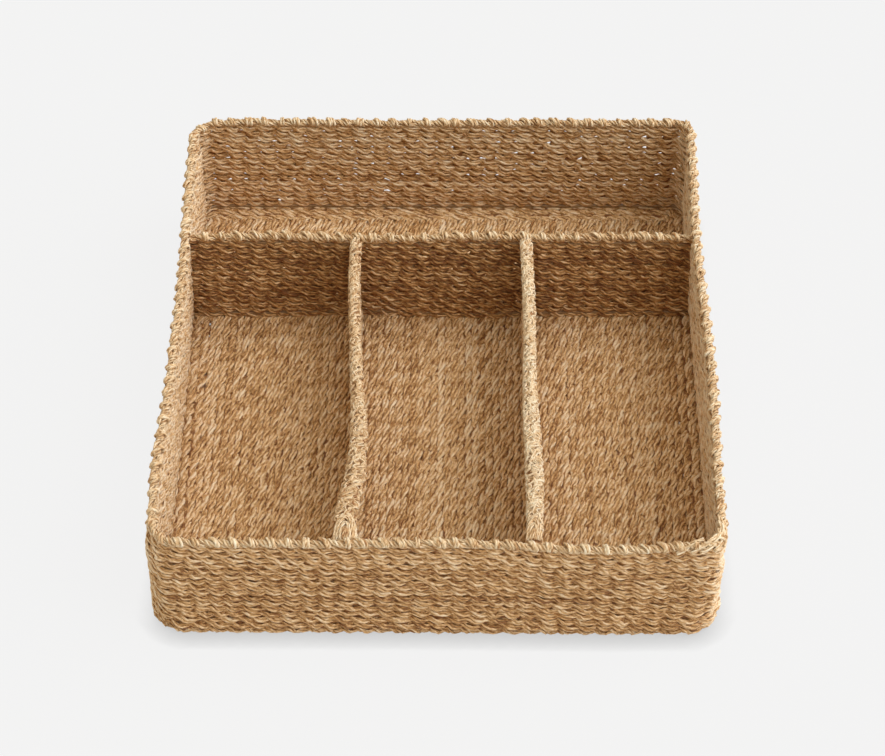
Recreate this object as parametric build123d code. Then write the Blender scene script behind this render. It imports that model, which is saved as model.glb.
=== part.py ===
from build123d import *
import os

# Woven cord flatware tray on a wire frame. Millimetres, +Z up, front towards -Y,
# origin at the bottom centre of the whole tray.

# Driving sizes of the tray
overall_width = 316.0
overall_depth = 353.0
overall_height = 78.0
corner_radius = 16.0
floor_thickness = 5.0
wall_thickness = 5.0
floor_edge_round = 3.0

# Wrapped border along the mouth, which overhangs the walls
rim_border_width = 7.4
rim_border_height = 7.0
rim_outer_overhang = 0.6
border_round = 3.0

# Dividers, whose tops lie below the mouth of the tray
divider_drop = 4.5
divider_thickness = 5.0
knife_compartment_depth = 93.5
divider_border_height = 7.0
cross_border_width = 7.4
partition_border_width = 9.0

# Wire frame inside the weave
wire_diameter = 2.4
wire_clearance = 0.3
hoop_bend_radius = 6.0

# Largest share of a slab's thickness that its rounded edge may take
round_limit_share = 0.95

# Length by which a cutting tool runs past what it cuts
overrun = 2.0

# Sizes worked out from the driving ones
wire_radius = wire_diameter / 2
channel_radius = wire_radius + wire_clearance
wall_top = overall_height - rim_border_height
wall_outer_width = overall_width - 2 * rim_outer_overhang
wall_outer_depth = overall_depth - 2 * rim_outer_overhang
wall_outer_radius = corner_radius - rim_outer_overhang
wall_middle_inset = rim_outer_overhang + wall_thickness / 2
inner_width = wall_outer_width - 2 * wall_thickness
inner_depth = wall_outer_depth - 2 * wall_thickness
rim_inner_width = overall_width - 2 * rim_border_width
rim_inner_depth = overall_depth - 2 * rim_border_width
divider_height = overall_height - divider_drop
divider_panel_top = divider_height - divider_border_height
cross_divider_y = inner_depth / 2 - knife_compartment_depth - divider_thickness / 2
cross_divider_front = cross_divider_y - divider_thickness / 2
cross_border_front = cross_divider_y - cross_border_width / 2
front_wall_face = -inner_depth / 2
compartment_width = (inner_width - 2 * divider_thickness) / 3
partition_x = (compartment_width + divider_thickness) / 2


def rounded_slab(width, depth, radius, low, high):
    """Flat slab with rounded plan corners, between two heights."""
    plan = Plane.XY.offset(low) * RectangleRounded(width, depth, radius)
    return extrude(plan, high - low)


def rod_along(path, radius):
    """Round rod swept along a closed path."""
    return sweep(Plane(path @ 0, z_dir=path % 0) * Circle(radius), path)


def loop_rod(height, radius):
    """Round rod that follows the middle of the walls all the way round at one height."""
    outline = RectangleRounded(
        overall_width - 2 * wall_middle_inset,
        overall_depth - 2 * wall_middle_inset,
        corner_radius - wall_middle_inset,
    )
    return rod_along((Plane.XY.offset(height) * outline).wire(), radius)


def upright_rod(place, low, high, radius):
    return extrude(Plane.XY.offset(low) * Pos(*place) * Circle(radius), high - low)


def post_places():
    """Middle of the wall's thickness, half way round each rounded corner."""
    reach = (wall_outer_radius - wall_thickness / 2) / 2**0.5
    x = wall_outer_width / 2 - wall_outer_radius + reach
    y = wall_outer_depth / 2 - wall_outer_radius + reach
    return [(-x, -y), (x, -y), (-x, y), (x, y)]


def floor_weave():
    slab = rounded_slab(wall_outer_width, wall_outer_depth, wall_outer_radius, 0, floor_thickness)
    edge_round = min(floor_edge_round, round_limit_share * floor_thickness)
    slab = fillet(slab.faces().sort_by(Axis.Z)[0].edges(), edge_round)
    return slab - loop_rod(floor_thickness, channel_radius)


def wall_band():
    """All four walls in one band, with the channels of the wire loops and the corner posts."""
    band = rounded_slab(
        wall_outer_width, wall_outer_depth, wall_outer_radius, floor_thickness, wall_top
    )
    band -= rounded_slab(
        inner_width,
        inner_depth,
        wall_outer_radius - wall_thickness,
        floor_thickness - overrun,
        wall_top + overrun,
    )
    for height in (floor_thickness, wall_top):
        band -= loop_rod(height, channel_radius)
    for place in post_places():
        band -= upright_rod(place, floor_thickness, wall_top, channel_radius)
    return band


def wall_weave(band, turn):
    """One wall of the band, parted at the corner posts: the front one, turned about +Z."""
    sizes = (wall_outer_width, wall_outer_depth)
    along, across = sizes if turn % 180 == 0 else sizes[::-1]
    far_x, far_y = along / 2 + overrun, across / 2 + overrun
    near_x, near_y = along / 2 - wall_outer_radius, across / 2 - wall_outer_radius
    corners = [(-far_x, -far_y), (far_x, -far_y), (near_x, -near_y), (-near_x, -near_y)]
    wedge = extrude(make_face(Polyline(*corners, close=True)), overall_height)
    return band & (Rot(0, 0, turn) * wedge)


def rim_border():
    ring = rounded_slab(overall_width, overall_depth, corner_radius, wall_top, overall_height)
    ring -= rounded_slab(
        rim_inner_width,
        rim_inner_depth,
        corner_radius - rim_border_width,
        wall_top - overrun,
        overall_height + overrun,
    )
    limit = round_limit_share * min(rim_border_height, rim_border_width / 2)
    ring = fillet(ring.faces().sort_by(Axis.Z)[-1].edges(), min(border_round, limit))
    return ring - loop_rod(wall_top, channel_radius)


def corner_posts():
    """Four upright wires that end just clear of the wire loops they are welded to."""
    low = floor_thickness + channel_radius
    high = wall_top - channel_radius
    return Compound([upright_rod(place, low, high, wire_radius) for place in post_places()])


def divider_weave(length):
    """Woven panel along X, centred, with an open channel round its edge for its wire hoop."""
    height = divider_panel_top - floor_thickness
    channel_depth = wire_diameter + 2 * wire_clearance
    edge_band = Rectangle(length + overrun, height + overrun) - RectangleRounded(
        length - 2 * channel_depth, height - 2 * channel_depth, hoop_bend_radius - channel_radius
    )
    channel = extrude(Plane.XZ * edge_band, channel_radius, both=True)
    panel = Box(length, divider_thickness, height) - channel
    return Pos(0, 0, floor_thickness + height / 2) * panel


def divider_hoop(length):
    """Wire rectangle with bent corners that lies in a panel's edge channel."""
    height = divider_panel_top - floor_thickness
    outline = RectangleRounded(
        length - 2 * channel_radius, height - 2 * channel_radius, hoop_bend_radius
    )
    hoop = rod_along((Plane.XZ * outline).wire(), wire_radius)
    return Pos(0, 0, floor_thickness + height / 2) * hoop


def divider_border(length, width):
    """Wrapped cord edge on top of a panel, along X and centred."""
    bar = Box(length, width, divider_border_height)
    long_edges = bar.faces().sort_by(Axis.Z)[-1].edges().filter_by(Axis.X)
    limit = round_limit_share * min(divider_border_height, width / 2)
    bar = fillet(long_edges, min(border_round, limit))
    return Pos(0, 0, divider_panel_top + divider_border_height / 2) * bar


def cross_divider():
    place = Pos(0, cross_divider_y)
    return {
        "cross_divider_weave": place * divider_weave(inner_width),
        "cross_divider_hoop": place * divider_hoop(inner_width),
        "cross_divider_border": place * divider_border(rim_inner_width, cross_border_width),
    }


def partition(side, x):
    """Divider that runs from the front wall back to the cross divider."""
    length = cross_divider_front - front_wall_face
    border_length = cross_border_front + rim_inner_depth / 2
    place = Pos(x, front_wall_face + length / 2) * Rot(0, 0, 90)
    border_place = Pos(x, cross_border_front - border_length / 2) * Rot(0, 0, 90)
    border = divider_border(border_length, partition_border_width)
    return {
        f"{side}_partition_weave": place * divider_weave(length),
        f"{side}_partition_hoop": place * divider_hoop(length),
        f"{side}_partition_border": border_place * border,
    }


def tray():
    band = wall_band()
    nodes = {"floor_weave": floor_weave(), "rim_border": rim_border()}
    for name, opposite, turn in (("front", "back", 0), ("left", "right", 270)):
        wall = wall_weave(band, turn)
        nodes[f"{name}_wall_weave"] = wall
        nodes[f"{opposite}_wall_weave"] = Rot(0, 0, 180) * wall
    nodes["rim_wire"] = loop_rod(wall_top, wire_radius)
    nodes["base_wire"] = loop_rod(floor_thickness, wire_radius)
    nodes["corner_posts"] = corner_posts()
    nodes.update(cross_divider())
    nodes.update(partition("left", -partition_x))
    nodes.update(partition("right", partition_x))
    return nodes


os.makedirs("parts", exist_ok=True)
for node, shape in tray().items():
    export_step(shape, f"parts/{node}.step")
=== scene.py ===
import math

import bpy
import numpy as np
from mathutils import Matrix, Vector


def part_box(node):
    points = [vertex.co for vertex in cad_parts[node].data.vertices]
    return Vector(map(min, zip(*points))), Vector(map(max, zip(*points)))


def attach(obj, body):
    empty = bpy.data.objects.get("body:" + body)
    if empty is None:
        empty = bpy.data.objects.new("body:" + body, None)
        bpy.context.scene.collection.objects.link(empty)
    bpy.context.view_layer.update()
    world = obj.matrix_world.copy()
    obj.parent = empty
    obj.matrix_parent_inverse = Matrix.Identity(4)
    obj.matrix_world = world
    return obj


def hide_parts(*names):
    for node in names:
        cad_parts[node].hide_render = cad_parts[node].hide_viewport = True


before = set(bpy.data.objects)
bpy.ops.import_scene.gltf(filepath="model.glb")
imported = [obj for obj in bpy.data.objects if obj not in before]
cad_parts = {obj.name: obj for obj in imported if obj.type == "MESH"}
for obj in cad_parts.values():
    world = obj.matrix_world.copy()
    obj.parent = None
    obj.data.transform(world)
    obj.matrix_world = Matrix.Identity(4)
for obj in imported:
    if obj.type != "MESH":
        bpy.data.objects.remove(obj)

# Woven cord flatware tray. Lengths in this script are in millimetres until a mesh or a lamp is made.
MM = 0.001
UP = np.array([0.0, 0.0, 1.0])
rng = np.random.default_rng(7)
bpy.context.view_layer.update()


def cad(node):
    """Lowest and highest corner of a CAD node."""
    low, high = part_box(node)
    return np.array(low) / MM, np.array(high) / MM


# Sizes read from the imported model
rim_low, rim_high = cad("rim_border")
wall_top = cad("front_wall_weave")[1][2]
floor_high = cad("floor_weave")[1]
cross_low, cross_high = cad("cross_divider_weave")
cross_top = cad("cross_divider_border")[1][2]
partition_boxes = {side: cad(f"{side}_partition_weave") for side in ("left", "right")}
partition_border_boxes = {side: cad(f"{side}_partition_border") for side in ("left", "right")}
overall_width, overall_depth, _ = rim_high - rim_low
overall_height = rim_high[2]
wall_outside = floor_high[0]
wall_thickness = wall_outside - cross_high[0]
wall_inset = overall_width / 2 - wall_outside + wall_thickness / 2
hoop_low, hoop_high = cad("cross_divider_hoop")
wire_radius = (hoop_high[1] - hoop_low[1]) / 2

# Cord and weave sizes that the photograph shows
corner_radius = 16.0
hoop_radius = 6.0
wire_margin = 3.0
stake_pitch_across = 10.2
stake_pitch_deep = 10.9
wall_row_pitch = 4.55
divider_row_pitch = 4.45
floor_row_pitch = 4.15
floor_stake_pitch = 10.4
bottom_edge_radius = 1.2
floor_middle = 2.6
rope_depth = 2.6

# A cord is three plies: their radius and their distance from its middle, as shares of its own radius
ply_size = 0.54
ply_shift = 0.5

# Chance spread of a ply's tone, and of a row's cords in size, tone and the length of one twist
ply_tone_spread = 0.45
cord_size_spread = 0.04
cord_tone_spread = 0.25
cord_lays = (24.0, 40.0)

# Points along a cord from one stake to the next
wall_samples = 6.4
floor_samples = 5.8
braid_samples = 7
tucked_samples = 3
floor_tucked_samples = 2

# How far rows and stakes run past the part that they fill, and a flat stake's length from point to point
row_overrun = 1.0
stake_overrun = 2.0
stake_step = 2.2
stake_foot = -8.0

# How two cords lie in a row. reach: how far they swing out from its middle; drop: how far a stitch falls;
# sag: how slack it hangs; thick and wide: a cord's radii where it shows.
floor_row = dict(reach=1.05, drop=0.8, sag=0.25, thick=1.0, wide=2.3)
floor_edge_row = dict(reach=1.05, drop=0.95, sag=0.3, thick=1.0, wide=2.5)
braid_row = dict(reach=0.85, drop=0.17, sag=0.05, thick=0.52, wide=0.8)

# Room on the bake map: past a cord's end, between lines, the least step, and the map's spare width
map_end_room = 2
map_line_gap = 0.15
map_least_step = 0.3
map_spare = 1.03

# Width of a cord's last ring as a share of the ring before it
end_ring_share = 0.03


def field(longest, shortest, count=9):
    """Smooth noise over a plane: waves of random direction and length, about -1 to 1."""
    lengths = np.exp(rng.uniform(np.log(shortest), np.log(longest), count))
    angles = rng.uniform(0, math.pi, count)
    starts = rng.uniform(0, 2 * math.pi, count)
    kx = 2 * math.pi * np.cos(angles) / lengths
    ky = 2 * math.pi * np.sin(angles) / lengths

    def value(x, y):
        x, y = np.broadcast_arrays(x, y)
        waves = np.sin(x[..., None] * kx + y[..., None] * ky + starts)
        return waves.sum(-1) / math.sqrt(count)

    return value


def unit(v):
    return v / np.linalg.norm(v, axis=-1, keepdims=True)


def smooth_step(x, low, high):
    f = np.clip((x - low) / (high - low), 0, 1)
    return f * f * (3 - 2 * f)


def hump(x, peak, before, after):
    """Smooth rise to 1 at peak and back to 0, over its own length on each side."""
    f = np.where(x < peak, (x - peak) / before, (x - peak) / after)
    return 0.5 + 0.5 * np.cos(math.pi * np.clip(f, -1, 1))


class Cords:
    """Cords of one piece, each of twisted plies that are tubes of rings, gathered into one mesh."""

    def __init__(self, sides=5):
        self.sides = sides
        self.parts = []

    def add(self, centre, normal, thick, wide, tone, lay=9.0, plies=3):
        """One cord along centre. thick is its radius along normal, wide its radius across both."""
        count = len(centre)
        thick, wide, tone = (np.broadcast_to(v, count).astype(float) for v in (thick, wide, tone))
        run = unit(np.gradient(centre, axis=0))
        out = unit(normal - (normal * run).sum(1, keepdims=True) * run)
        side = np.cross(run, out)
        step = np.linalg.norm(np.diff(centre, axis=0), axis=1)
        along = np.concatenate([[0.0], np.cumsum(step)])
        start = rng.uniform(0, 2 * math.pi)
        for ply in range(plies):
            turn = start + 2 * math.pi * (along / lay + ply / plies)
            paler = ply_tone_spread * rng.normal()
            if plies == 1:
                self.tube(centre, out, side, turn, thick, wide, tone + paler, along)
                continue
            x, y = thick * np.cos(turn), wide * np.sin(turn)
            middle = centre + ply_shift * (x[:, None] * out + y[:, None] * side)
            self.tube(middle, out, side, turn, ply_size * thick, ply_size * wide, tone + paler, along)

    def tube(self, centre, out, side, turn, thick, wide, tone, along):
        """One ply: oval rings, whose fibres turn with it."""
        angle = np.linspace(0, 2 * math.pi, self.sides, endpoint=False)
        x = (thick[:, None] * np.cos(angle))[..., None]
        y = (wide[:, None] * np.sin(angle))[..., None]
        rings = centre[:, None] + x * out[:, None] + y * side[:, None]
        # A last ring with hardly any width closes each end
        first = centre[:1, None] + end_ring_share * (rings[:1] - centre[:1, None])
        last = centre[-1:, None] + end_ring_share * (rings[-1:] - centre[-1:, None])
        rings = np.concatenate([first, rings, last])
        along = np.concatenate([along[:1], along, along[-1:]])
        turn = np.concatenate([turn[:1], turn, turn[-1:]])
        tone = np.concatenate([tone[:1], tone, tone[-1:]])
        girth = float((thick + wide).mean() / 2)
        free = angle[None] - turn[:, None]
        offset = rng.uniform(0, 900)
        straight = np.stack(
            [
                np.broadcast_to(along[:, None] + offset, free.shape),
                girth * np.cos(free),
                girth * np.sin(free),
            ],
            -1,
        )
        self.parts.append((rings, straight, np.repeat(tone[:, None], self.sides, 1), along, girth))

    def piece(self, name, material, slot, *nodes):
        """One object of all the cords, which stands for the CAD nodes."""
        sides = self.sides
        points, straights, tones, faces, maps = [], [], [], [], []
        area = sum((p[3][-1] + map_end_room) * (2 * math.pi * p[4]) for p in self.parts)
        width = math.sqrt(area) * map_spare
        pen = [0.0, 0.0, 0.0]
        first = 0
        j = np.arange(sides)
        for rings, straight, tone, along, girth in self.parts:
            count = len(rings)
            points.append(rings.reshape(-1, 3))
            straights.append(straight.reshape(-1, 3))
            tones.append(tone.ravel())
            i = np.arange(count - 1)[:, None]
            a = first + i * sides + j
            b = first + i * sides + (j + 1) % sides
            faces.append(np.stack([a, b, b + sides, a + sides], -1).reshape(-1, 4))
            maps.append(self.strip(along, girth, width, pen, j))
            first += count * sides
        points = np.concatenate(points) * MM
        faces = np.concatenate(faces)
        maps = np.concatenate(maps)
        maps[:, 1] /= max(pen[1] + pen[2], 1e-6)
        maps[:, 0] /= width
        mesh = bpy.data.meshes.new(name)
        mesh.from_pydata(points, [], faces)
        mesh.attributes.new("straight", "FLOAT_VECTOR", "POINT").data.foreach_set(
            "vector", (np.concatenate(straights) * MM).astype(np.float32).ravel()
        )
        mesh.attributes.new("tone", "FLOAT", "POINT").data.foreach_set(
            "value", np.concatenate(tones).astype(np.float32)
        )
        layer = mesh.uv_layers.new(name="OFBake")
        layer.uv.foreach_set("vector", maps.astype(np.float32).ravel())
        mesh.shade_smooth()
        mesh.materials.append(material)
        obj = bpy.data.objects.new(name, mesh)
        bpy.context.scene.collection.objects.link(obj)
        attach(obj, "root")
        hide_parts(*nodes)

    @staticmethod
    def strip(along, girth, width, pen, j):
        """Corners of the unrolled cord on the bake map, in millimetres, laid in lines like text."""
        height = 2 * math.pi * girth
        sides = len(j)
        low = np.empty(len(along) - 1)
        line = np.empty(len(along) - 1)
        steps = np.maximum(np.diff(along), map_least_step)
        for k, step in enumerate(steps):
            if pen[0] + step > width:
                pen[0] = 0.0
                pen[1] += pen[2] + map_line_gap
                pen[2] = 0.0
            pen[2] = max(pen[2], height)
            low[k] = pen[0]
            line[k] = pen[1]
            pen[0] += step
        u0, u1 = low[:, None] + 0 * j, (low + steps)[:, None] + 0 * j
        v0 = line[:, None] + height * j / sides
        v1 = line[:, None] + height * (j + 1) / sides
        corners = [np.stack(corner, -1) for corner in ((u0, v0), (u0, v1), (u1, v1), (u1, v0))]
        return np.stack(corners, 2).reshape(-1, 2)


# The walls' middle line from above: s runs anticlockwise from the middle of the front left corner
half_x = overall_width / 2 - wall_inset
half_y = overall_depth / 2 - wall_inset
bend = corner_radius - wall_inset
straight_x = 2 * (half_x - bend)
straight_y = 2 * (half_y - bend)
quarter = bend * math.pi / 2
front_end = straight_x + quarter
right_end = front_end + straight_y + quarter
back_end = right_end + straight_x + quarter
loop_length = back_end + straight_y + quarter


def outline(s):
    """Point and outward normal of the walls' middle line at s."""
    s = np.mod(np.asarray(s, float), loop_length)
    point = np.zeros(s.shape + (2,))
    normal = np.zeros(s.shape + (2,))
    begin = 0.0
    for turn, span in enumerate((straight_x, straight_y, straight_x, straight_y)):
        angle = turn * math.pi / 2
        direction = np.array([math.cos(angle), math.sin(angle)])
        outward = np.array([math.sin(angle), -math.cos(angle)])
        across = half_y if turn % 2 == 0 else half_x
        f = s - begin
        here = (f >= 0) & (f <= span + quarter)
        # First half of a bend, the straight stretch, and the first half of the next bend
        arc = np.where(f < quarter / 2, (f - quarter / 2) / bend, 0) + np.where(
            f > span + quarter / 2, (f - span - quarter / 2) / bend, 0
        )
        flat = np.clip(f - quarter / 2, 0, span) - span / 2
        centre = outward * (across - bend) + flat[..., None] * direction
        out = np.cos(arc)[..., None] * outward + np.sin(arc)[..., None] * direction
        point = np.where(here[..., None], centre + bend * out, point)
        normal = np.where(here[..., None], out, normal)
        begin += span + quarter
    return point, normal


def facing(normal, x=0, y=0):
    """How squarely a wall faces the given way, 0 to 1."""
    return np.clip(x * normal[..., 0] + y * normal[..., 1], 0, 1)


def stake_phase(points=4001):
    """Stake count along s as a table, with a stake in the middle of each corner."""
    s = np.linspace(0, loop_length, points)
    _, normal = outline(s)
    pitch = stake_pitch_across + (stake_pitch_deep - stake_pitch_across) * normal[:, 0] ** 2
    count = np.concatenate([[0.0], np.cumsum(np.diff(s) / ((pitch[1:] + pitch[:-1]) / 2))])
    edges = [0.0, front_end, right_end, back_end, loop_length]
    at = np.interp(edges, s, count)
    whole = np.concatenate([[0], np.cumsum(np.round(np.diff(at)))])
    return s, np.interp(count, at, whole)


phase_s, phase_count = stake_phase()

# Slow leans and dents of the walls, and the small unevenness of hand weaving
wall_dent = field(260, 90)
row_waver = field(90, 16)
stake_waver = field(150, 28)
slack = field(40, 8)
kink = field(9, 3.4, 14)
tone_patch = field(90, 12)


# The part of a bow that is left at the foot of a wall or partition
foot_share = 0.35


def bow_share(height, top):
    """How much of a bow shows at a height: least at the foot, all at the top."""
    return foot_share + (1 - foot_share) * np.clip(height / top, 0, 1)


def wall_bow(point, normal, height):
    """How far a wall bows outwards."""
    x, y = point[..., 0], point[..., 1]
    left = 2.6 * hump(y, -125, 70, 70) - 1.2 * hump(y, 25, 110, 110)
    left = left + 1.3 * hump(y, 110, 110, 75)
    right = 1.1 * hump(y, -55, 90, 90) - 1.3 * hump(y, 75, 85, 85)
    front = 1.5 * hump(x, 85, 80, 65)
    sideways = np.where(x < 0, left, right) * normal[..., 0] ** 2 * bow_share(height, overall_height)
    return sideways + front * facing(normal, y=-1) ** 2


def wall_belly(point, normal, height):
    """The left wall's swelling and lean, a foot that spreads a little, and each corner's own roundness."""
    x, y = point[..., 0], point[..., 1]
    swelling = 3.0 * hump(y, -165, 60, 70) * facing(normal, x=-1)
    swelling = swelling * (1 - smooth_step(height, 58, 75))
    foot = 1.6 + 0.8 * hump(x, 95, 160, 75) * facing(normal, y=-1) ** 2
    foot = foot * (1 - smooth_step(height, 0, 24))
    below_mouth = 1 - smooth_step(height, 60, 76)
    lean = 2.6 * hump(y, 180, 110, 40) * facing(normal, x=-1) * below_mouth
    # The front feet and the mouth at the back left are rounder than the other corners
    corner = 2 * np.abs(normal[..., 0] * normal[..., 1])
    rise = smooth_step(height, 4, 40)
    back = np.where(x > 0, 2.4, 3.6 * below_mouth - 1.4)
    front = np.where(x > 0, 1.4 * rise, 0.0) - 1.6 * (1 - rise)
    return swelling - lean + foot + corner * np.where(y > 0, back, front)


def wall_sag(point, normal, height):
    """How far the front wall's mouth dips right of its middle."""
    dip = 3.4 * hump(point[..., 0], 98, 95, 62) * facing(normal, y=-1) ** 2
    return dip * np.clip(height / overall_height, 0, 1) ** 1.5


def wall_place(s, t):
    """Walls and their turn into the floor. t is the height, and runs on along the bend below."""
    point, normal = outline(s)
    low = floor_middle + bottom_edge_radius
    angle = np.clip((low - t) / bottom_edge_radius, 0, None)
    beyond = np.clip(angle - math.pi / 2, 0, None) * bottom_edge_radius
    angle = np.minimum(angle, math.pi / 2)
    inward = bottom_edge_radius * (1 - np.cos(angle)) + beyond
    height = np.where(t > low, t, low - bottom_edge_radius * np.sin(angle))
    rise = smooth_step(height, 8, 30)
    bulge = 0.55 * wall_dent(s, t) * rise + wall_bow(point, normal, height) * smooth_step(height, 0, 16)
    bulge = bulge + wall_belly(point, normal, height) * np.clip(1 - beyond / 8, 0, 1)
    xy = point + normal * (bulge - inward)[..., None]
    height = height - wall_sag(point, normal, height)
    place = np.concatenate([xy, height[..., None]], -1)
    out = np.concatenate([normal * np.cos(angle)[..., None], -np.sin(angle)[..., None]], -1)
    return place, out


def flat_place(origin, along, up, depth, lean=lambda s, t: 0.0 * s):
    """A flat panel: s along it, t up it. depth is how far it waves, lean how far it stands off."""
    origin, along, up = (np.array(v, float) for v in (origin, along, up))
    normal = np.cross(along, up)
    shift = field(160, 60)

    def place(s, t):
        s, t = np.broadcast_arrays(s, t)
        bow = depth * shift(s, t) + lean(s, t)
        point = origin + s[..., None] * along + t[..., None] * up + bow[..., None] * normal
        return point, np.broadcast_to(normal, point.shape)

    return place


def spin():
    """Chance values of a row's two cords: size, tone and the length of one twist."""
    return [
        (cord_size_spread * rng.normal(), cord_tone_spread * rng.normal(), rng.uniform(*cord_lays))
        for _ in range(2)
    ]


def twined_row(
    cords, place, s, t, count, seed, spins,
    reach=1.3, drop=0.65, sag=0.45, thick=1.15, wide=2.0, shade=0.0,
    crossing_thick=1.35, crossing_wide=1.6,
):
    """Two cords that cross between the stakes, one in front of each stake and one behind."""
    wobble = 0.25 * stake_waver(s + 3 * seed, t * 2)
    line = t + 0.32 * row_waver(s, t * 3 + seed)
    for turn, (bigger, paler, lay) in zip((0, math.pi), spins):
        angle = math.pi * (count + wobble) + turn
        c, q = np.cos(angle), np.sin(angle)
        rough = kink(s + 31 * turn, line * 7)
        size = 1 + 0.09 * slack(s + 50 * seed, line + turn) + bigger
        # Each stitch falls steeply where it comes out, sags, and runs almost level to where it goes in
        centre, normal = place(s, line - drop * q - sag * (2 * c * c - 1) + 0.3 * rough)
        depth = reach * c * (1 + 0.16 * kink(s + 70, line * 9 + 40 * turn))
        centre = centre + depth[..., None] * normal
        flat = np.abs(c) ** 1.3
        crossing = min(crossing_wide, wide)
        wider = (crossing + (wide - crossing) * flat) * size * (1 + 0.07 * rough)
        thicker = (crossing_thick + (thick - crossing_thick) * flat) * size
        tone = 0.25 * tone_patch(s * 1.3 + 90 * turn, line * 4) + 0.3 * kink(s + 9 * turn, line * 5)
        # Painted shade: where the two cords cross between the stakes they are painted darker
        tone = tone + paler + shade - 0.7 * (1 - flat) + 0.2
        cords.add(centre, normal, thicker, wider, tone, lay=lay)


def stakes(cords, place, positions, low, high, thick=0.9, wide=3.3, stray=0.25, wave=3.1):
    """Flat cords that stand upright, which the rows go round. They are painted darker, as painted shade
    behind the rows.
    """
    for s in positions:
        t = np.arange(low, high + stake_overrun, stake_step)
        across = s + stray * np.sin(t / wave + s)
        centre, normal = place(across, t)
        cords.add(centre, normal, thick, wide, -1.2 + 0.3 * rng.normal(), lay=8, plies=1)


def fillers(cords, place, s, lines, thick=0.55, wide=1.3):
    """Cord ends tucked in between the rows, which are seen only where the rows leave a slit. They are
    painted dark, as painted shade in the slits.
    """
    for line in lines:
        centre, normal = place(s, np.full_like(s, line))
        cords.add(centre, normal, thick, wide, -1.3 + 0.3 * rng.normal(), lay=8, plies=1)


def rim_bundle(cords, place, s, top, half_width=2.5, height=2.3, tails=1.9, thick=0.78, most=3):
    """Cord ends that fold over the mouth side by side at one stake, and tuck in below it. They are painted
    darker towards their tucked ends, as painted shade.
    """
    tuck, lay = 1.2, 5.5
    angle = np.radians(np.linspace(-25, 205, 13))
    middle = top - thick - height
    slant = rng.uniform(0.3, 2.5)
    strands = rng.integers(2, most + 1)
    for k in range(strands):
        at = s + (k - (strands - 1) / 2) * 1.9 * thick * rng.uniform(0.75, 1.05)
        lean = slant + rng.uniform(-0.35, 0.35)
        tall = height + rng.uniform(-0.7, 0.3)
        broad = half_width + rng.uniform(-0.4, 0.3)
        n = broad * np.cos(angle)
        z = middle + tall * np.sin(angle)
        end = rng.uniform(0.2, 1.0) * tails
        n = np.concatenate([[n[0] - tuck], n, [n[-1] + tuck]])
        z = np.concatenate([[z[0] - end], z, [z[-1] - end]])
        run = at + lean * n / broad + 0.15 * rng.normal()
        base, out = place(run, z)
        centre = base + n[:, None] * out
        hub, _ = place(np.full_like(run, at), np.full_like(z, middle))
        size = thick * rng.uniform(0.75, 1.3)
        tone = 0.2 + 0.4 * rng.normal() - 0.9 * smooth_step(middle - z, 0.4, 2.4)
        cords.add(centre, unit(centre - hub), size, size, tone, lay=lay, plies=1)


def rim_rope(cords, place, s, top, count, spins, shade, reach=1.4, drop=0.9, thick=1.2, wide=1.75):
    """The two cords that cross on top of the mouth between the bundles, and the cord ends inside them. The
    cord ends inside are painted darker, as painted shade.
    """
    inner_drop, inner_thick, inner_wide, inner_lay = 1.6, 1.8, 1.9, 12
    t = top - rope_depth + 0 * s
    inner, out = place(s, t - inner_drop)
    cords.add(inner, out, inner_thick, inner_wide, -0.8 + 0.6 * tone_patch(s, t), lay=inner_lay)
    for turn, (bigger, paler, lay) in zip((0, math.pi), spins):
        angle = math.pi * (count + 0.12 * stake_waver(s, t)) + turn
        c, q = np.cos(angle), np.sin(angle)
        size = 1 + 0.1 * slack(s, t + turn * 9) + 0.08 * kink(s, t + turn) + bigger
        line = t + 0.3 * row_waver(s, t) + 0.3 * kink(s + 20 * turn, t)
        centre, normal = place(s, line - drop * (q + 0.2 * (2 * c * c - 1)))
        centre = centre + (reach * c)[..., None] * normal
        hub, _ = place(s, line)
        tone = 0.1 + 0.4 * tone_patch(s * 2 + 40 * turn, line) + paler + shade
        cords.add(centre, unit(centre - hub), thick * size, wide * size, tone, lay=lay * 0.5)


def closed_path(width, height, radius, step=2.0):
    """Rectangle with rounded corners, centred, as two rows of coordinates that end where they begin."""
    arc = np.linspace(0, math.pi / 2, 9)
    corners = []
    for turn, (x, y) in enumerate(((1, 1), (-1, 1), (-1, -1), (1, -1))):
        hub = np.array([x * (width / 2 - radius), y * (height / 2 - radius)])
        angle = arc + turn * math.pi / 2
        corners.append(hub + radius * np.stack([np.cos(angle), np.sin(angle)], -1))
    path = np.concatenate(corners + [corners[0][:1]])
    run = np.concatenate([[0.0], np.cumsum(np.linalg.norm(np.diff(path, axis=0), axis=1))])
    even = np.linspace(0, run[-1], int(run[-1] / step))
    return np.interp(even, run, path[:, 0]), np.interp(even, run, path[:, 1])


# Sides of a wire's rings
wire_sides = 10


def bent_wire(name, place, s, t, node_name, inward=0.0):
    """The wire of a CAD node, bent as the weave around it is."""
    rod = Cords(wire_sides)
    centre, normal = place(s, t)
    rod.add(centre - inward * normal, normal, wire_radius, wire_radius, 0.0, plies=1)
    rod.piece(name, wire, "frame_wire", node_name)


def samples(begin, end, pitch, per_stake):
    """Evenly spaced places along a row."""
    return np.linspace(begin, end, max(8, int(round((end - begin) / pitch * per_stake)) + 1))


# Materials
def node(tree, kind, **values):
    """A shader node. A value whose name begins with in_ goes to the input of that name or number."""
    n = tree.nodes.new(kind)
    for key, value in values.items():
        if key.startswith("in_"):
            slot = int(key[3:]) if key[3:].isdigit() else key[3:].replace("_", " ")
            n.inputs[slot].default_value = value
        else:
            setattr(n, key, value)
    return n


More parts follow.
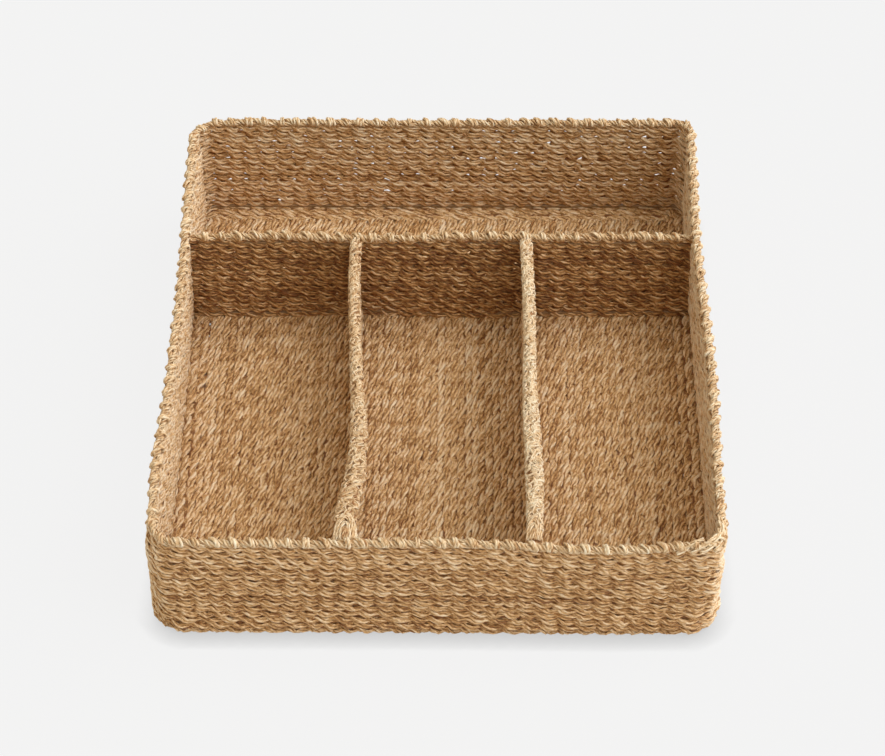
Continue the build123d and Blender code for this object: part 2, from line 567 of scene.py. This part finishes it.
def math_node(tree, operation, a, b=None):
    """The output of a Math node, whose inputs are sockets or numbers."""
    n = tree.nodes.new("ShaderNodeMath")
    n.operation = operation
    for slot, value in ((0, a), (1, b)):
        if value is None:
            continue
        if isinstance(value, (int, float)):
            n.inputs[slot].default_value = value
        else:
            tree.links.new(value, n.inputs[slot])
    return n.outputs[0]


def new_material(name):
    mat = bpy.data.materials.new(name)
    mat.use_nodes = True
    mat.node_tree.nodes.clear()
    return mat, mat.node_tree


def show(tree, shader):
    """Sends a shader to the material's output."""
    out = node(tree, "ShaderNodeOutputMaterial")
    tree.links.new(shader.outputs[0], out.inputs[0])


def colour_ramp(tree, stops, value):
    """Colours at their places on a scale, read at value."""
    ramp = node(tree, "ShaderNodeValToRGB")
    elements = ramp.color_ramp.elements
    for element, (position, colour) in zip(elements, (stops[0], stops[-1])):
        element.position = position
        element.color = (*colour, 1)
    for position, colour in stops[1:-1]:
        elements.new(position).color = (*colour, 1)
    tree.links.new(value, ramp.inputs[0])
    return ramp


# Fibre pattern: waves per metre along a ply and across it, and how much each part of it counts on the
# colour scale and in the bumps
fine_waves = (240, 2600, 2600)
broad_waves = (420, 1150, 1150)
fine_part = 0.6
broad_part = 0.7
tone_part = 0.1
crown_painted_shade_part = 0.09
scale_shift = 0.17
bump_fine_part = 0.8
bump_crown_part = 0.2


def cord_material(name, stops, roughness=(0.42, 0.8), bump=0.0004):
    """Spun plant fibre: fine strands that turn with the ply, and a tone for each cord."""
    mat, tree = new_material(name)
    link = tree.links.new
    straight = node(tree, "ShaderNodeAttribute", attribute_name="straight")
    tone = node(tree, "ShaderNodeAttribute", attribute_name="tone")
    fine_scale = node(tree, "ShaderNodeVectorMath", operation="MULTIPLY")
    fine_scale.inputs[1].default_value = fine_waves
    broad_scale = node(tree, "ShaderNodeVectorMath", operation="MULTIPLY")
    broad_scale.inputs[1].default_value = broad_waves
    link(straight.outputs["Vector"], fine_scale.inputs[0])
    link(straight.outputs["Vector"], broad_scale.inputs[0])
    fine = node(tree, "ShaderNodeTexNoise", in_Scale=1.0, in_Detail=3.0, in_Roughness=0.6)
    broad = node(tree, "ShaderNodeTexNoise", in_Scale=1.0, in_Detail=2.0, in_Roughness=0.5)
    link(fine_scale.outputs[0], fine.inputs["Vector"])
    link(broad_scale.outputs[0], broad.inputs["Vector"])
    parts = node(tree, "ShaderNodeSeparateXYZ")
    link(straight.outputs["Vector"], parts.inputs[0])
    y2 = math_node(tree, "MULTIPLY", parts.outputs[1], parts.outputs[1])
    z2 = math_node(tree, "MULTIPLY", parts.outputs[2], parts.outputs[2])
    girth = math_node(tree, "SQRT", math_node(tree, "ADD", y2, z2))
    crown = math_node(tree, "DIVIDE", parts.outputs[1], girth)
    # Colour runs from painted shade in the grooves, where a ply faces its cord's middle, to a painted paler
    # crown of the ply
    value = math_node(tree, "MULTIPLY", fine.outputs[0], fine_part)
    others = (broad.outputs[0], broad_part), (tone.outputs["Fac"], tone_part), (crown, crown_painted_shade_part)
    for source, part in others:
        value = math_node(tree, "ADD", value, math_node(tree, "MULTIPLY", source, part))
    value = math_node(tree, "SUBTRACT", value, scale_shift)
    ramp = colour_ramp(tree, stops, value)
    fine_height = math_node(tree, "MULTIPLY", fine.outputs[0], bump_fine_part)
    height = math_node(tree, "ADD", fine_height, math_node(tree, "MULTIPLY", crown, bump_crown_part))
    bump_node = node(tree, "ShaderNodeBump", in_Strength=1.0, in_Distance=bump)
    link(height, bump_node.inputs["Height"])
    rough = node(tree, "ShaderNodeMapRange")
    rough.inputs[1].default_value = 0.3
    rough.inputs[2].default_value = 0.7
    rough.inputs[3].default_value = roughness[1]
    rough.inputs[4].default_value = roughness[0]
    link(fine.outputs[0], rough.inputs[0])
    shader = node(tree, "ShaderNodeBsdfPrincipled")
    shader.inputs["Specular IOR Level"].default_value = 0.5
    shader.inputs["Sheen Weight"].default_value = 0.08
    shader.inputs["Sheen Roughness"].default_value = 0.5
    link(ramp.outputs[0], shader.inputs["Base Color"])
    link(rough.outputs[0], shader.inputs["Roughness"])
    link(bump_node.outputs[0], shader.inputs["Normal"])
    show(tree, shader)
    return mat


lacquer_stops = (
    (0.35, (0.26, 0.15, 0.062)),
    (0.7, (0.40, 0.245, 0.11)),
)


def wire_material():
    """Brown lacquer over steel wire, with an uneven film."""
    mat, tree = new_material("lacquered_wire")
    link = tree.links.new
    place = node(tree, "ShaderNodeTexCoord")
    film = node(tree, "ShaderNodeTexNoise", in_Scale=420.0, in_Detail=3.0, in_Roughness=0.6)
    link(place.outputs["Object"], film.inputs["Vector"])
    ramp = colour_ramp(tree, lacquer_stops, film.outputs[0])
    rough = node(tree, "ShaderNodeMapRange")
    rough.inputs[3].default_value = 0.32
    rough.inputs[4].default_value = 0.55
    link(film.outputs[0], rough.inputs[0])
    bump_node = node(tree, "ShaderNodeBump", in_Strength=0.5, in_Distance=0.0001)
    link(film.outputs[0], bump_node.inputs["Height"])
    shader = node(tree, "ShaderNodeBsdfPrincipled")
    shader.inputs["Coat Weight"].default_value = 0.3
    link(ramp.outputs[0], shader.inputs["Base Color"])
    link(rough.outputs[0], shader.inputs["Roughness"])
    link(bump_node.outputs[0], shader.inputs["Normal"])
    show(tree, shader)
    return mat


weave_stops = (
    (0.28, (0.22, 0.08, 0.018)),
    (0.42, (0.53, 0.275, 0.085)),
    (0.56, (0.81, 0.535, 0.27)),
    (0.72, (0.93, 0.745, 0.51)),
)
# The border cords are paler than the woven ones: partly their own colour, partly painted light on the top
# of the mouth and the dividers' edges
border_colour_and_light_stops = (
    (0.28, (0.38, 0.175, 0.055)),
    (0.42, (0.69, 0.44, 0.21)),
    (0.56, (0.87, 0.66, 0.41)),
    (0.74, (0.95, 0.83, 0.62)),
)
weave = cord_material("twined_cord", weave_stops)
border = cord_material("border_cord", border_colour_and_light_stops)
wire = wire_material()

# Walls, each from the middle of one corner to the middle of the next
wall_ends = {
    "front": (0.0, front_end),
    "right": (front_end, right_end),
    "back": (right_end, back_end),
    "left": (back_end, loop_length),
}
joint_lap = 0.8


def wall_painted_light(s):
    """Painted light and shade on the walls' cords by the way each wall faces: palest on the right wall,
    darkest on the front one.
    """
    normal = outline(s)[1]
    tone = 0.8 + 0.6 * facing(normal, x=1) - 0.55 * smooth_step(normal[:, 1], 0.45, 0.75)
    return tone - 1.05 * facing(normal, y=-1) ** 2


# One row lies in the middle of the bend into the floor, and the others keep their distance from it
bend_row = floor_middle + bottom_edge_radius * (1 - math.pi / 4)
wall_rows = int((wall_top + row_overrun - bend_row) / wall_row_pitch)
floor_edge_rows = 2
# A row within this distance of the bend is the bend's own
near_bend = 1.0
# The most painted light that the bend's row takes from the wall
bend_painted_light_most = 0.4
# How far a wall row's cords swing out, and how much more on the right wall
wall_reach = 1.3
right_wall_more = 0.35
# Thick cord ends that fill the slits on the floor's edge
edge_filler = dict(thick=0.8, wide=2.0)

# The rim's two cords on the front and back walls, and what is added to each value on the side walls,
# where they cover more of the mouth
# The shade darkens the rope as painted shade between the bundles, more on the side walls
rim_values = dict(rise=0.1, drop=0.9, thick=1.3, wide=1.7, shade=-0.3)
rim_sideways = dict(rise=0.6, drop=-0.3, thick=-0.1, wide=0.5, shade=-0.3)

# Cord ends over the rim: how far a bundle strays from its stake, and how high it stands over the mouth
bundle_stray = 0.9
bundle_rise = 1.1
side_bundle_rise = 0.5
side_bundle = dict(half_width=2.9, tails=1.4, most=2)


def corner_ends(cords, first=-21.0, pitch=5.5, number=5, length=15.0, points=14):
    """Long cord ends that run over the mouth at the front right corner, from outside and low to inside."""
    outside, crossing = 3.4, 5.6
    low, rise, middle = 4.6, 4.9, 4.0
    thick, wide, lay = 1.05, 1.3, 16
    for at in front_end + first + pitch * np.arange(number):
        f = np.linspace(0, 1, points)
        height = overall_height - low + rise * smooth_step(f, 0, 0.7)
        base, out = wall_place(at + rng.normal() + length * f, height)
        centre = base + (outside - crossing * f)[:, None] * out
        hub, _ = wall_place(at + length * f, np.full_like(f, overall_height - middle))
        cords.add(centre, unit(centre - hub), thick, wide, 0.2 + 0.4 * rng.normal(), lay=lay)


row_lines = bend_row + wall_row_pitch * np.arange(wall_rows, -floor_edge_rows - 1, -1)
row_seeds = rng.uniform(0, 100, len(row_lines))
row_spins = [spin() for _ in row_lines]
rope_spins = spin()
edge = Cords()
rope = Cords()
bundles = Cords()
for name, (begin, end) in wall_ends.items():
    cords = Cords()
    pitch = stake_pitch_across if name in ("front", "back") else stake_pitch_deep
    s = samples(begin - joint_lap, end + joint_lap, pitch, wall_samples)
    count = np.interp(s, phase_s, phase_count)
    # The count runs on evenly past the ends of its table
    count = count + np.minimum(s, 0) / stake_pitch_deep
    count = count + np.maximum(s - loop_length, 0) / stake_pitch_across
    for line, seed, spins in zip(row_lines, row_seeds, row_spins):
        row = np.full_like(s, line)
        if line > bend_row + near_bend:
            reach = wall_reach + right_wall_more * facing(outline(s)[1], x=1)
            twined_row(cords, wall_place, s, row, count, seed, spins, reach=reach, shade=wall_painted_light(s))
        elif line > bend_row - near_bend:
            shade = np.minimum(wall_painted_light(s), bend_painted_light_most)
            twined_row(edge, wall_place, s, row, count, seed, spins, shade=shade)
        else:
            twined_row(edge, wall_place, s, row, count, seed, spins, **floor_edge_row)
    first, last = np.interp([begin, end], phase_s, phase_count)
    whole = np.arange(int(round(first)), int(round(last)))
    positions = np.interp(whole, phase_count, phase_s)
    stakes(cords, wall_place, positions, stake_foot, wall_top + stake_overrun)
    cords.piece(f"{name}_wall_twine", weave, "woven_cord", f"{name}_wall_weave")
    between = row_lines[:-1] - wall_row_pitch / 2
    tucked = samples(begin - joint_lap, end + joint_lap, pitch, tucked_samples)
    fillers(edge, wall_place, tucked, between[between < bend_row + near_bend], **edge_filler)
    # The back wall lets small specks of light through
    if name != "back":
        core = Cords()
        fillers(core, wall_place, tucked, between[between > bend_row + near_bend])
        core.piece(f"{name}_wall_core", weave, "woven_cord", f"{name}_wall_weave")
    sideways = outline(s)[1][:, 0] ** 2
    rim = {key: rim_values[key] + rim_sideways[key] * sideways for key in rim_values}
    top = overall_height + rim.pop("rise")
    rim_rope(rope, wall_place, s, top, count, rope_spins, **rim)
    on_side = name in ("left", "right")
    bundle = side_bundle if on_side else {}
    top = overall_height + (side_bundle_rise if on_side else bundle_rise)
    for at in positions:
        rim_bundle(bundles, wall_place, at + bundle_stray * rng.normal(), top, **bundle)
corner_ends(bundles)
rope.piece("rim_rope", border, "border_cord", "rim_border")
bundles.piece("rim_bundles", border, "border_cord", "rim_border")

# The wire frame
wire_points = 400
post_points = 30
base_wire_inset = 0.8
around = np.linspace(0, loop_length, wire_points)
rim_wire_height = np.full_like(around, wall_top)
base_wire_height = np.full_like(around, floor_high[2])
bent_wire("rim_wire_bent", wall_place, around, rim_wire_height, "rim_wire")
bent_wire("base_wire_bent", wall_place, around, base_wire_height, "base_wire", base_wire_inset)
posts = Cords(wire_sides)
post_low, post_high = cad("corner_posts")
for s in (0.0, front_end, right_end, back_end):
    t = np.linspace(post_low[2], post_high[2], post_points)
    centre, normal = wall_place(np.full_like(t, s), t)
    posts.add(centre, normal, wire_radius, wire_radius, 0.0, plies=1)
posts.piece("corner_posts_bent", wire, "frame_wire", "corner_posts")

# Floor: rows from front to back, laid over cords that run across
floor_end_margin = 13.6
floor_side_margin = 16.7
floor_reach = overall_depth / 2 - floor_end_margin
floor_side = overall_width / 2 - floor_side_margin
floor_corner = 5.0
floor_wave = 0.12
floor_pieces = 4
floor_filler = dict(thick=0.5, wide=1.5)
floor_filler_margin = 4
# The flat cords that the floor's rows go round, painted dark as painted shade under the rows
floor_stake = dict(thick=0.75, wide=4.6, tone=-1.4, lay=8, plies=1)
floor_stake_past = 9
floor_stake_points = 60
floor_place = flat_place((0, 0, floor_middle), (0, 1, 0), (-1, 0, 0), floor_wave)
floor_rows = np.linspace(-floor_side, floor_side, 2 * round(floor_side / floor_row_pitch) + 1)
for part, rows in enumerate(np.array_split(floor_rows, floor_pieces)):
    floor = Cords()
    for line in rows:
        # Rows at the sides are shorter, to leave the corner round
        cut = max(0.0, floor_corner - (floor_side + row_overrun - abs(line)))
        reach = floor_reach - (floor_corner - math.sqrt(max(floor_corner**2 - cut**2, 0)))
        s = samples(-reach, reach, floor_stake_pitch, floor_samples)
        row = np.full_like(s, line)
        twined_row(floor, floor_place, s, row, s / floor_stake_pitch, line, spin(), **floor_row)
    floor.piece(f"floor_twine_{part + 1}", weave, "woven_cord", "floor_weave")
floor_core = Cords()
filler_reach = floor_reach - floor_filler_margin
tucked = samples(-filler_reach, filler_reach, floor_stake_pitch, floor_tucked_samples)
fillers(floor_core, floor_place, tucked, (floor_rows[1:] + floor_rows[:-1]) / 2, **floor_filler)
floor_core.piece("floor_core", weave, "woven_cord", "floor_weave")
floor_stakes = int(floor_reach / floor_stake_pitch)
for at in np.arange(-floor_stakes, floor_stakes + 1) * floor_stake_pitch:
    end = floor_side + floor_stake_past
    across = np.linspace(-end, end, floor_stake_points)
    centre = np.stack([across, np.full_like(across, at), np.full_like(across, floor_middle)], -1)
    edge.add(centre, np.broadcast_to(UP, centre.shape), **floor_stake)
edge.piece("floor_edge_twine", weave, "woven_cord", "floor_weave")


# Dividers
divider_foot = 0.4
cross_row_drop = 5.0
partition_row_drop = 5.5
cross_wave = 0.7
partition_wave = 0.6
# The cross divider's cords are painted darker, as painted shade in its compartments
cross_painted_shade = -1.2


def divider(name, place, length, row_top, shade):
    """The rows, stakes and wire of one divider panel."""
    cords = Cords()
    pitch = stake_pitch_across
    s = samples(-length / 2 - row_overrun, length / 2 + row_overrun, pitch, wall_samples)
    row_bottom = floor_high[2] + divider_foot
    rows = round((row_top - row_bottom) / divider_row_pitch) + 1
    for line in np.linspace(row_top, row_bottom, rows):
        twined_row(cords, place, s, np.full_like(s, line), s / pitch, line * 3, spin(), shade=shade)
    positions = np.arange(-int(length / 2 / pitch), int(length / 2 / pitch) + 1) * pitch
    stakes(cords, place, positions, floor_high[2], row_top)
    cords.piece(f"{name}_twine", weave, "woven_cord", f"{name}_weave")
    hoop_low, hoop_high = cad(f"{name}_hoop")
    tall = hoop_high[2] - hoop_low[2]
    along, up = closed_path(length - wire_margin, tall - 2 * wire_radius, hoop_radius)
    middle = (hoop_low[2] + hoop_high[2]) / 2
    bent_wire(f"{name}_hoop_bent", place, along, up + middle, f"{name}_hoop")
    return s, positions


cross_middle = (cross_low + cross_high) / 2
cross_place = flat_place((0, cross_middle[1], 0), (1, 0, 0), (0, 0, 1), cross_wave)
cross_length = cross_high[0] - cross_low[0]
s, positions = divider("cross_divider", cross_place, cross_length, cross_top - cross_row_drop, cross_painted_shade)
# The divider's edge lies a little lower than its CAD border, under bundles that stand out
cross_rope_drop = 0.8
# Its rope is painted darker, as painted shade under and between the bundles
cross_rope_painted_shade = -0.9
cross_bundle_rise = 0.3
cross_bundle_stray = 0.8
rope = Cords()
rope_top = cross_top - cross_rope_drop
rim_rope(rope, cross_place, s, rope_top, s / stake_pitch_across, spin(), cross_rope_painted_shade)
for at in positions:
    stray = cross_bundle_stray * rng.normal()
    rim_bundle(rope, cross_place, at + stray, cross_top + cross_bundle_rise)
rope.piece("cross_divider_rim", border, "border_cord", "cross_divider_border")


def arch_place(panel, top, half_width, height):
    """Rows that run over a divider's rounded top edge. t is the share of a right angle from its top."""

    def place(s, t):
        angle = t * math.pi / 2
        base, normal = panel(s, np.full_like(s, top - height))
        wide = half_width(s)
        n = -wide * np.sin(angle)
        z = height * np.cos(angle)
        point = base + n[..., None] * normal + z[..., None] * UP
        out = unit(-(np.sin(angle) * height)[..., None] * normal + (np.cos(angle) * wide)[..., None] * UP)
        return point, out

    return place


# How the two partitions bow sideways and widen towards the front
partition_bows = {
    "left": lambda y: 5.9 * hump(y, -100, 78, 160),
    "right": lambda y: 2.3 * hump(y, -128, 80, 120),
}
partition_widths = {
    "left": lambda y: 2.4 + 2.7 * smooth_step(-y, 20, 150),
    "right": lambda y: 2.6 + 1.4 * hump(y, -110, 110, 90),
}
# Loops that close each partition's edge at the front wall: their place from the panel's middle, their half
# widths, and the length from the wall at which the braid begins
front_loops = {"left": (1.0, (0.9, 2.7, 4.5, 6.0), 15.0), "right": (1.0, (0.5, 2.1, 3.7), 6.0)}
# Tones of the loops from the innermost: the innermost is painted dark as painted shade in the middle of the
# loops, the others vary in tone
loop_tones_and_shade = (-1.6, 0.3, -0.4, 0.4)
loop_points = 15
loop_cord = dict(thick=0.95, wide=1.0, lay=14)
partition_tones = {"left": -0.5, "right": 0.5}

# The braid over a partition's edge: rows as shares of a right angle from its top, over one thick core that
# is painted very dark, as painted shade between the rows
braid_pitch = 4.4
braid_lines = (-1.25, -0.83, -0.42, 0.0, 0.42, 0.83, 1.25)
braid_drop = 1.4
braid_height = 2.4
braid_core = dict(thick=2.0, tone=-3.0, lay=9, plies=1)
braid_core_depth = 2.2
braid_core_margin = 0.2


def front_loop(cords, x, y, top, half, tone):
    """One cord that turns round at the front wall. Wider loops reach further back and lie lower."""
    least_reach, more_reach = 5.5, 2.2
    crown, fall, widest, end_dip = 1.8, 2.6, 7, 1.6
    angle = np.linspace(0, math.pi, loop_points)
    across = x + half * np.cos(angle)
    back = y + (least_reach + more_reach * half) * np.sin(angle)
    rise = top + crown - fall * (half / widest) ** 2 - end_dip * (1 - np.sin(angle)) ** 2
    loop = np.stack([across, back, rise], -1)
    cords.add(loop, np.broadcast_to(UP, loop.shape), tone=tone, **loop_cord)


for side in ("left", "right"):
    low, high = partition_boxes[side]
    border_low, border_high = partition_border_boxes[side]
    middle = (low + high) / 2
    bow = partition_bows[side]
    width = partition_widths[side]

    def lean(s, t):
        return bow(s + middle[1]) * bow_share(t, cross_top)

    place = flat_place((middle[0], middle[1], 0), (0, 1, 0), (0, 0, 1), partition_wave, lean)
    divider(f"{side}_partition", place, high[1] - low[1], cross_top - partition_row_drop, 0.0)
    braid = Cords()
    top = border_high[2] - braid_drop
    arch = arch_place(place, top, lambda s: width(s + middle[1]), braid_height)
    shift, half_widths, knob = front_loops[side]
    front = border_low[1] - middle[1]
    s = samples(front - row_overrun, border_high[1] - middle[1], braid_pitch, braid_samples)
    core, up = arch(s, np.zeros_like(s))
    broad = width(s + middle[1]) - braid_core_margin
    braid.add(core - braid_core_depth * UP, up, wide=broad, **braid_core)
    s = s[s > front + knob]
    shade = partition_tones[side]
    for line in braid_lines:
        count = s / braid_pitch + rng.uniform(0, 1)
        twined_row(braid, arch, s, np.full_like(s, line), count, line * 9, spin(), shade=shade, **braid_row)
    for half, paler in zip(half_widths, loop_tones_and_shade):
        front_loop(braid, middle[0] + shift, border_low[1] + row_overrun, top, half, paler)
    braid.piece(f"{side}_partition_rim", border, "border_cord", f"{side}_partition_border")


# Camera, floor and light
def photograph_camera():
    """Camera at the photograph's angle."""
    focal_pixels, photo_width = 2850.0, 885.0
    aim = np.array([1.34, -14.41, 40.0])
    distance = 1683.3
    yaw, pitch, roll = math.radians(-0.73), math.radians(46.0), math.radians(-0.42)
    forward = np.array([math.sin(yaw) * math.cos(pitch), math.cos(yaw) * math.cos(pitch), -math.sin(pitch)])
    right = np.array([math.cos(yaw), -math.sin(yaw), 0.0])
    above = np.cross(right, forward)
    right_rolled = math.cos(roll) * right + math.sin(roll) * above
    above_rolled = -math.sin(roll) * right + math.cos(roll) * above
    eye = (aim - forward * distance) * MM
    data = bpy.data.cameras.new("camera")
    data.sensor_fit = "HORIZONTAL"
    data.sensor_width = 36.0
    data.lens = focal_pixels / photo_width * data.sensor_width
    data.clip_start = 0.05
    data.clip_end = 50.0
    camera = bpy.data.objects.new("camera", data)
    turned = Matrix([Vector(right_rolled), Vector(above_rolled), Vector(-forward)]).transposed()
    camera.matrix_world = Matrix.Translation(Vector(eye)) @ turned.to_4x4()
    bpy.context.scene.collection.objects.link(camera)
    bpy.context.scene.camera = camera


def floor_material():
    """Pale, with a soft painted shadow where the tray stands, most in front of it."""
    grey, white, glow_share = 0.86, 0.893, 0.95
    painted_shadow_reach, painted_shadow_depth = 0.012, 0.46
    mat, tree = new_material("studio_floor")
    light_path = node(tree, "ShaderNodeLightPath")
    diffuse = node(tree, "ShaderNodeBsdfDiffuse")
    diffuse.inputs["Color"].default_value = (grey, grey, grey, 1)
    glow = node(tree, "ShaderNodeEmission")
    glow.inputs["Color"].default_value = (white, white, white, 1)
    mix = node(tree, "ShaderNodeMixShader")
    share = math_node(tree, "MULTIPLY", light_path.outputs["Is Camera Ray"], glow_share)
    painted_shadow_node = node(tree, "ShaderNodeAmbientOcclusion", samples=16, in_Distance=painted_shadow_reach)
    lean_back = node(tree, "ShaderNodeCombineXYZ", in_0=0.0, in_1=0.92, in_2=0.38)
    tree.links.new(lean_back.outputs[0], painted_shadow_node.inputs["Normal"])
    open_share = math_node(tree, "MULTIPLY", painted_shadow_node.outputs["AO"], painted_shadow_depth)
    strength = math_node(tree, "ADD", open_share, 1 - painted_shadow_depth)
    tree.links.new(strength, glow.inputs["Strength"])
    tree.links.new(share, mix.inputs[0])
    tree.links.new(diffuse.outputs[0], mix.inputs[1])
    tree.links.new(glow.outputs[0], mix.inputs[2])
    show(tree, mix)
    return mat


def studio_floor(far=4.0):
    """Floor with a faint real shadow of the tray and a painted contact shadow, as far as the given metres
    on each side.
    """
    data = bpy.data.meshes.new("studio_floor")
    data.from_pydata([(-far, -far, 0), (far, -far, 0), (far, far, 0), (-far, far, 0)], [], [(0, 1, 2, 3)])
    data.materials.append(floor_material())
    obj = bpy.data.objects.new("studio_floor", data)
    bpy.context.scene.collection.objects.link(obj)


def studio_world():
    """Warm light from all round."""
    world = bpy.data.worlds.new("studio")
    bpy.context.scene.world = world
    world.use_nodes = True
    background = world.node_tree.nodes["Background"]
    background.inputs["Color"].default_value = (1.0, 0.87, 0.68, 1)
    background.inputs["Strength"].default_value = 0.38


def sun(name, toward, strength, spread, colour):
    """Even light from one direction; spread is the softness in degrees."""
    data = bpy.data.lights.new(name, "SUN")
    data.energy = strength
    data.color = colour
    data.angle = math.radians(spread)
    obj = bpy.data.objects.new(name, data)
    obj.rotation_euler = Vector(toward).to_track_quat("Z", "Y").to_euler()
    bpy.context.scene.collection.objects.link(obj)


photograph_camera()
studio_floor()
studio_world()
sun("key", (0.95, 0.0, 0.8), 2.6, 70, (0.88, 0.92, 1.0))
sun("overhead", (0.0, -0.12, 1.0), 1.0, 70, (1.0, 1.0, 0.92))

bpy.context.scene.view_settings.view_transform = "Standard"
